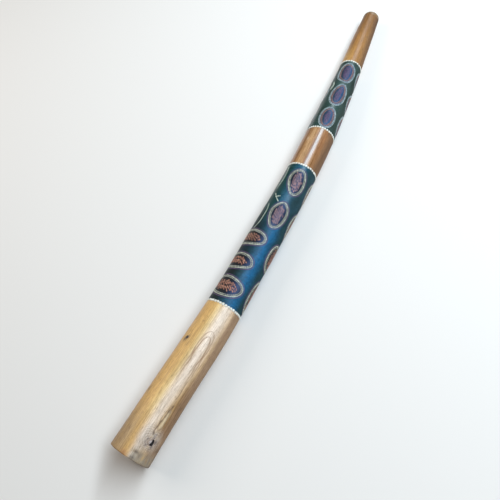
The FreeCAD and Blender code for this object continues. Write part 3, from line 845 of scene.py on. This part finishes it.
def domes(name, places, angles, headings, half_lengths, half_widths, heights, lift, material,
          replaced=(), slot_name=None, segments=10):
    """Low domes on the log, one for each place. A heading turns its long way, from along the log."""
    places, angles, turn, half_lengths, half_widths, heights, lift = (
        np.array(part, float)[:, None, None] for part in np.broadcast_arrays(
            places, angles, np.radians(headings), half_lengths, half_widths, heights, lift))
    around = np.radians(np.arange(segments) * 360 / segments)
    share, rise = (np.array(part)[:, None] for part in zip(*DOME_LEVELS))
    u = half_lengths * share * np.cos(around)
    v = half_widths * share * np.sin(around)
    along = u * np.cos(turn) - v * np.sin(turn)
    across = u * np.sin(turn) + v * np.cos(turn)
    rims = surface(places + along, angles + np.degrees(across / wood_radius(places)),
                   lift + heights * rise)
    tops = surface(places, angles, lift + heights)
    points = np.concatenate([rims.reshape(len(rims), -1, 3), tops[:, 0]], axis=1)
    top_row = (len(DOME_LEVELS) - 1) * segments
    pattern = ring_faces(len(DOME_LEVELS), segments, False)
    pattern += [(top_row + c, top_row + (c + 1) % segments, top_row + segments)
                for c in range(segments)]
    pattern.append(tuple(range(segments - 1, -1, -1)))
    faces = [tuple(index + dome * points.shape[1] for index in face)
             for dome in range(len(points)) for face in pattern]
    return new_piece(name, points, faces, material, replaced, slot_name)


def hand_laid(name, spots, sizes, spreads, height, lift, material, segments=10):
    """Domes laid by hand. The spreads are of the heading, the half length and the half width."""
    places, angles, headings = spots
    turned, longer, wider = (draws.normal(0, spread, len(places)) for spread in spreads)
    return domes(name, places, angles, headings + turned, sizes[0] + longer, sizes[1] + wider,
                 height, lift, material, segments=segments)


def build_dot_ring(name, place, material):
    """A ring of touching raised dots. The hand that laid them was not quite even."""
    count = round(2 * math.pi * float(wood_radius(place)) / BEAD_PITCH)
    step = 360 / count
    angles = (np.arange(count) + 0.5) * step + draws.normal(0, 0.5, count)
    half = 3.05 + draws.normal(0, 0.14, count)
    return domes(name, place + draws.normal(0, 0.25, count), angles, draws.uniform(0, 180, count),
                 half * 1.04, half, 1.15 + draws.normal(0, 0.08, count), COAT * 0.5, material,
                 [name.replace("_beads", "")], "cream_paint", segments=18)


# ---- ovals: a field of paint, rows of dots round it and a filled middle ----
class Oval:
    """An egg-shaped outline on the log's surface."""

    def __init__(self, place, angle, along, around, turn, blunt):
        self.place, self.angle = place, angle
        self.half_along, self.half_around = along / 2, around / 2
        self.turn = math.radians(turn)
        self.blunt = blunt
        self.wobble = draws.normal(0, 0.012, 4)
        self.phase = draws.uniform(0, 2 * math.pi, 4)

    def outline(self, inset, around):
        """Offsets of the outline at angles round it; inset moves it inwards."""
        shape = 1 + sum(w * np.cos((k + 2) * around + p)
                        for k, (w, p) in enumerate(zip(self.wobble, self.phase)))
        u = (self.half_along - inset) * shape * np.cos(around)
        v = (self.half_around - inset) * shape * np.sin(around) * (1 + self.blunt * np.cos(around))
        return u, v

    def on_log(self, u, v):
        """The place and angle of offsets from the oval's middle."""
        along = u * math.cos(self.turn) - v * math.sin(self.turn)
        across = u * math.sin(self.turn) + v * math.cos(self.turn)
        place = self.place + along
        return place, self.angle + np.degrees(across / wood_radius(self.place))

    def row(self, inset, pitch):
        """Evenly spaced spots along the outline, with the heading of the line at each."""
        fine = np.linspace(0, 2 * math.pi, 400)
        u, v = self.outline(inset, fine)
        travelled = np.concatenate([[0], np.cumsum(np.hypot(np.diff(u), np.diff(v)))])
        count = max(int(travelled[-1] / pitch), 6)
        stops = (np.arange(count) + draws.uniform(0, 1)) % count * travelled[-1] / count
        at = np.interp(stops, travelled, fine)
        u, v = self.outline(inset, at)
        ahead_u, ahead_v = self.outline(inset, at + 0.01)
        heading = np.degrees(np.arctan2(ahead_v - v, ahead_u - u)) + math.degrees(self.turn)
        places, angles = self.on_log(u, v)
        return places, angles, heading

    def filling(self, inset, pitch_u, pitch_v):
        """Spots of a jittered brick pattern inside the inset outline."""
        reach_u, reach_v = self.half_along - inset, self.half_around - inset
        spots = []
        for row, v in enumerate(np.arange(-reach_v, reach_v, pitch_v)):
            shift = 0.5 * pitch_u * (row % 2)
            for u in np.arange(-reach_u + shift, reach_u, pitch_u):
                stretch = 1 + self.blunt * u / reach_u
                if (u / reach_u) ** 2 + (v / (reach_v * stretch)) ** 2 < 1:
                    spots.append((u, v))
        u, v = np.array(spots).T
        jitter = draws.normal(0, 0.12, (2, len(spots)))
        return self.on_log(u + jitter[0] * pitch_u, v + jitter[1] * pitch_v)


# place, angle, length along the log, length round it, turn and bluntness of each oval
LOWER_OVALS = [
    (399, 16, 54, 92, 0, 0.08), (469, 32, 46, 92, 0, 0.05), (537, 31, 46, 92, 0, 0.05),
    (616, -22, 78, 45, 2, 0.06), (722, -22, 80, 46, 8, 0.14),
    (411, -105, 90, 44, -3, 0.05), (516, -93, 76, 46, 5, -0.1), (619, -109, 80, 44, 0, 0.06),
    (721, -113, 76, 44, 3, 0.05), (412, 168, 80, 40, 4, 0.05), (510, 168, 70, 44, -3, 0.05),
    (606, 148, 66, 36, 0, 0.05), (716, 166, 66, 38, -4, 0.08), (616, 84, 70, 38, 0, 0.05),
    (716, 84, 70, 38, 5, 0.06),
]
UPPER_OVALS = [
    (951, -14, 80, 48, 2, 0.06), (1046, -16, 90, 48, -3, -0.08), (1140, -9, 86, 52, 3, 0.05),
    (957, -103, 84, 46, 2, 0.05), (1050, -103, 80, 44, -3, 0.05), (1145, -104, 74, 42, 3, 0.05),
    (952, 168, 76, 40, -3, 0.05), (1046, 166, 78, 40, 3, 0.05), (1140, 166, 74, 38, -2, 0.05),
    (946, 76, 64, 38, 3, 0.05), (1048, 74, 76, 40, -3, 0.05), (1140, 78, 60, 30, 2, 0.05),
]


STROKE_HEADING = 28
# points of (place, angle) that the dotted lines run through
LOOSE_LINES = [
    [(566, 38), (580, 29), (600, 26), (622, 27), (640, 34)], [(652, 4), (662, 18), (674, 31)],
    [(664, 22), (668, 6)], [(694, 44), (716, 37), (744, 37), (766, 42)],
    [(1066, 33), (1080, 28), (1096, 31)], [(1072, 37), (1088, 34), (1104, 38)]]
LOOSE_PITCH = 3.6


def join_rows(rows):
    """Rows of places, angles and headings, joined end to end."""
    return [np.concatenate(parts) for parts in zip(*rows)]


def rows_round(ovals, inset, pitch):
    """The spots of a row of dots round each oval, moved inwards by the inset."""
    return join_rows([oval.row(inset, pitch) for oval in ovals])


def build_fields(name, ovals, node, material, dark, lit_tone):
    """The ovals' flat fields: fans of rings that follow the log, bluer on its upper side as painted
    light.
    """
    rings, columns = 9, 72
    around = np.arange(columns) * 2 * math.pi / columns
    shares = np.append(np.linspace(1 / rings, 1, rings), 1)[:, None]
    foot = COAT * 0.4
    lift = np.full((rings + 1, columns), COAT + FIELD)
    lift[-2] = COAT + FIELD * 0.6
    lift[-1] = foot
    points, faces, tints = [], [], []
    start = 0
    for oval in ovals:
        u, v = oval.outline(FIELD_INSET, around)
        places, angles = oval.on_log(shares * u, shares * v)
        points += [surface(places, angles, lift).reshape(-1, 3),
                   surface(oval.place, oval.angle, COAT + FIELD)[None],
                   surface(oval.place, oval.angle, foot)[None]]
        middle = start + lift.size
        last = middle - columns
        faces += [tuple(index + start for index in face)
                  for face in ring_faces(rings + 1, columns, False)]
        faces += [(middle, start + (c + 1) % columns, start + c) for c in range(columns)]
        faces.append(tuple(range(last, middle)))
        # Painted light: the fields turn bluer where the light falls, near -24 degrees.
        tints += [mix(dark, lit_tone, hump(angles + 24, 17)).reshape(-1, 3), dark[None], dark[None]]
        start = middle + 2
    new_piece(name, np.concatenate(points), faces, material, [node], "navy_paint",
              tint=np.concatenate(tints))


def build_lower_ovals():
    """The long band's ovals: cream rows, a mauve outline and a middle filled with strokes."""
    ovals = [Oval(*numbers) for numbers in LOWER_OVALS]
    navy = dot_material("navy_field_paint", (0.75, 0.8, 0.9), (1.1, 1.1, 1.15), tinted=True)
    # The second colour is the blue of the painted light.
    build_fields("lower_oval_fields", ovals, "lower_band_ovals", navy,
                 np.array((0.007, 0.008, 0.010)), np.array((0.012, 0.034, 0.105)))
    cream = dot_material("oval_cream_paint", (0.50, 0.49, 0.38), (0.84, 0.83, 0.68))
    dim_cream = dot_material("oval_dim_cream_paint", (0.26, 0.27, 0.22), (0.60, 0.60, 0.50))
    for number, inset, pitch, paint in ((1, 1.7, 3.9, cream), (2, 5.3, 4.2, dim_cream)):
        hand_laid(f"lower_oval_cream_row_{number}", rows_round(ovals, inset, pitch), (1.75, 1.3),
                  (14, 0.25, 0.18), 0.5, COAT + FIELD, paint)
    mauve = dot_material("oval_mauve_paint", (0.10, 0.06, 0.13), (0.17, 0.10, 0.19))
    domes("lower_oval_mauve_row", *rows_round(ovals, -2.2, 2.6), 1.3, 1.1, 0.3, COAT, mauve, segments=8)
    for label, group, dark, light in (
            ("rust", ovals[:3], (0.30, 0.10, 0.06), (0.66, 0.33, 0.22)),
            ("rose", ovals[3:5], (0.22, 0.10, 0.10), (0.55, 0.31, 0.28)),
            ("brown", ovals[5:], (0.26, 0.09, 0.055), (0.52, 0.24, 0.16))):
        stroke_paint = dot_material(f"oval_{label}_stroke_paint", dark, light)
        places, angles = join_rows([oval.filling(13.0 if oval.half_along < 30 else 11.0, 6.2, 4.2)
                                    for oval in group])
        hand_laid(f"lower_oval_{label}_strokes", (places, angles, STROKE_HEADING), (2.7, 1.3),
                  (11, 0.3, 0.12), 0.42, COAT + FIELD, stroke_paint)


def build_upper_ovals():
    """The short band's ovals: two light rows, two brown rows and a middle of purple dots."""
    ovals = [Oval(*numbers) for numbers in UPPER_OVALS]
    navy = dot_material("upper_field_paint", (0.8, 0.85, 0.9), (1.1, 1.1, 1.15), tinted=True)
    # The second colour is the blue of the painted light.
    build_fields("upper_oval_fields", ovals, "upper_band_ovals", navy,
                 np.array((0.010, 0.030, 0.050)), np.array((0.014, 0.060, 0.145)))
    light = dot_material("oval_light_paint", (0.20, 0.27, 0.29), (0.52, 0.58, 0.58))
    brown = dot_material("oval_brown_paint", (0.17, 0.08, 0.065), (0.40, 0.22, 0.18))
    purple = dot_material("oval_purple_paint", (0.055, 0.026, 0.07), (0.16, 0.085, 0.17))
    for label, insets, material in (("light", (1.5, 4.4), light), ("brown", (7.4, 10.2), brown)):
        for number, inset in enumerate(insets, start=1):
            hand_laid(f"upper_oval_{label}_row_{number}", rows_round(ovals, inset, 3.3), (1.5, 1.25),
                      (12, 0.2, 0.15), 0.42, COAT + FIELD, material, segments=8)
    places, angles = join_rows([oval.filling(16.5 if oval.half_around > 18 else 13, 3.6, 2.9)
                                for oval in ovals])
    domes("upper_oval_purple_dots", places, angles, draws.uniform(0, 180, len(places)), 1.7, 1.35, 0.4,
          COAT + FIELD, purple)


def build_loose_lines():
    """Plain dotted lines between the ovals on the +Y side of both bands."""
    cream = dot_material("line_cream_paint", (0.38, 0.43, 0.36), (0.60, 0.66, 0.56))
    rows = []
    for path in LOOSE_LINES:
        along, turn = np.array(path, float).T
        steps = np.hypot(*unrolled(along[1:], turn[1:], along[:-1], turn[:-1]))
        travelled = np.append(0, np.cumsum(steps))
        stops = np.arange(0, travelled[-1], LOOSE_PITCH)
        place_line, angle_line = Spline(travelled, along), Spline(travelled, turn)
        places = place_line.value(stops)
        across = np.radians(angle_line.slope(stops)) * wood_radius(places)
        heading = np.degrees(np.arctan2(across, place_line.slope(stops)))
        rows.append((places, angle_line.value(stops), heading))
    hand_laid("loose_dot_lines", join_rows(rows), (1.85, 1.4), (8, 0.15, 0.12), 0.5, COAT, cream)


# ---- camera, lights and floor ----
CAMERA_PLACE = np.array((62.39, -438.83, 1027.43))
# radians: from straight down, round the vertical from +X, and about the line of sight
CAMERA_TILT, CAMERA_AZIMUTH, CAMERA_ROLL = 0.5633, 0.7442, -0.3346
LENS_MM = 34.56
SENSOR_MM = 36
# metres, in the row frame: the floor lies just under the log, and reaches well past the view
FLOOR_HALF = 6.0
FLOOR_TOP = -0.0004
FLOOR_TONE = (0.77, 0.73, 0.70, 1)
AIR_TONE = (1.0, 0.98, 0.95, 1)
AIR_STRENGTH = 0.16


def build_camera():
    """The camera that sees the log from above, with its bell end near and its mouth end far."""
    data = bpy.data.cameras.new("camera")
    data.lens = LENS_MM
    data.sensor_width = SENSOR_MM
    camera = new_object("camera", data)
    heading = Vector((math.cos(CAMERA_AZIMUTH), math.sin(CAMERA_AZIMUTH), 0))
    look = heading * math.sin(CAMERA_TILT) - Vector((0, 0, math.cos(CAMERA_TILT)))
    level_up = (heading - look * heading.dot(look)).normalized()
    level_right = look.cross(level_up)
    right = level_right * math.cos(CAMERA_ROLL) + level_up * math.sin(CAMERA_ROLL)
    up = level_up * math.cos(CAMERA_ROLL) - level_right * math.sin(CAMERA_ROLL)
    turn = Matrix((right, up, -look)).transposed().to_4x4()
    camera.matrix_world = Matrix.Translation(Vector(CAMERA_PLACE * MM + ORIGIN)) @ turn
    bpy.context.scene.camera = camera


def area_light(name, place, aim, size, power, colour):
    """An area light that faces its aim."""
    data = bpy.data.lights.new(name, "AREA")
    data.shape = "RECTANGLE"
    data.size, data.size_y = size
    data.energy = power
    data.color = colour
    light = new_object(name, data)
    facing = (Vector(aim) - Vector(place)).to_track_quat("-Z", "Y").to_matrix().to_4x4()
    light.matrix_world = Matrix.Translation(place) @ facing
    return light


def strip_light(name, start, end, width, aim, power, colour):
    """A long area light whose long side runs from start to end."""
    start, end = Vector(start), Vector(end)
    middle = (start + end) / 2
    length_way = (end - start).normalized()
    across = (middle - Vector(aim)).normalized().cross(length_way).normalized()
    light = area_light(name, middle, aim, ((end - start).length, width), power, colour)
    turn = Matrix((length_way, across, length_way.cross(across))).transposed().to_4x4()
    light.matrix_world = Matrix.Translation(middle) @ turn
    return light


def build_stage():
    """A pale floor, a dim even sky, a long cool window above -Y and a warm light above +Y."""
    mesh = bpy.data.meshes.new("floor")
    corners = [(x * FLOOR_HALF, y * FLOOR_HALF, 0) for x, y in ((-1, -1), (1, -1), (1, 1), (-1, 1))]
    mesh.from_pydata(corners, [], [(0, 1, 2, 3)])
    floor = new_object("floor", mesh)
    floor.location.z = FLOOR_TOP
    mesh.materials.append(Shader("floor_paint", Roughness=0.9, Base_Color=FLOOR_TONE).material)
    world = bpy.data.worlds.new("studio")
    world.use_nodes = True
    background = world.node_tree.nodes["Background"]
    background.inputs["Color"].default_value = AIR_TONE
    background.inputs["Strength"].default_value = AIR_STRENGTH
    bpy.context.scene.world = world
    bpy.context.scene.view_settings.view_transform = "Standard"
    strip_light("window_strip", (-0.45, -1.95, 2.4), (3.5, 0.05, 2.4), 0.55, (0.1, 0, 0), 150,
                (0.80, 0.92, 1.0))
    area_light("warm_side", (-0.4, 2.4, 2.0), (0, 0, 0), (1.8, 1.8), 32, (1.0, 0.93, 0.84))


# ---- the whole ----
build_log()
build_knot("bell_knot_plug", BELL_KNOT, crescent, crown=1.2366, tone=1.0)
build_knot("side_knot_plug", SIDE_KNOT, small_hollow, crown=0.2, tone=0.3)
build_wax()
build_coat("lower_band_coat", RING_PLACES["bell_dot_ring"], RING_PLACES["lower_band_dot_ring"],
           "lower_band_paint", "blue_paint", lower_coat_colour, shine=0.2)
build_coat("upper_band_coat", RING_PLACES["upper_band_dot_ring"], RING_PLACES["mouth_dot_ring"],
           "upper_band_paint", "green_paint", upper_coat_colour, shine=0.35)
bead_paint = dot_material("bead_cream_paint", (0.66, 0.64, 0.56), (0.86, 0.85, 0.78), roughness=0.3,
                          shine=0.5)
for ring_name, ring_place in RING_PLACES.items():
    build_dot_ring(f"{ring_name}_beads", ring_place, bead_paint)
build_lower_ovals()
build_upper_ovals()
build_loose_lines()
build_stage()
build_camera()
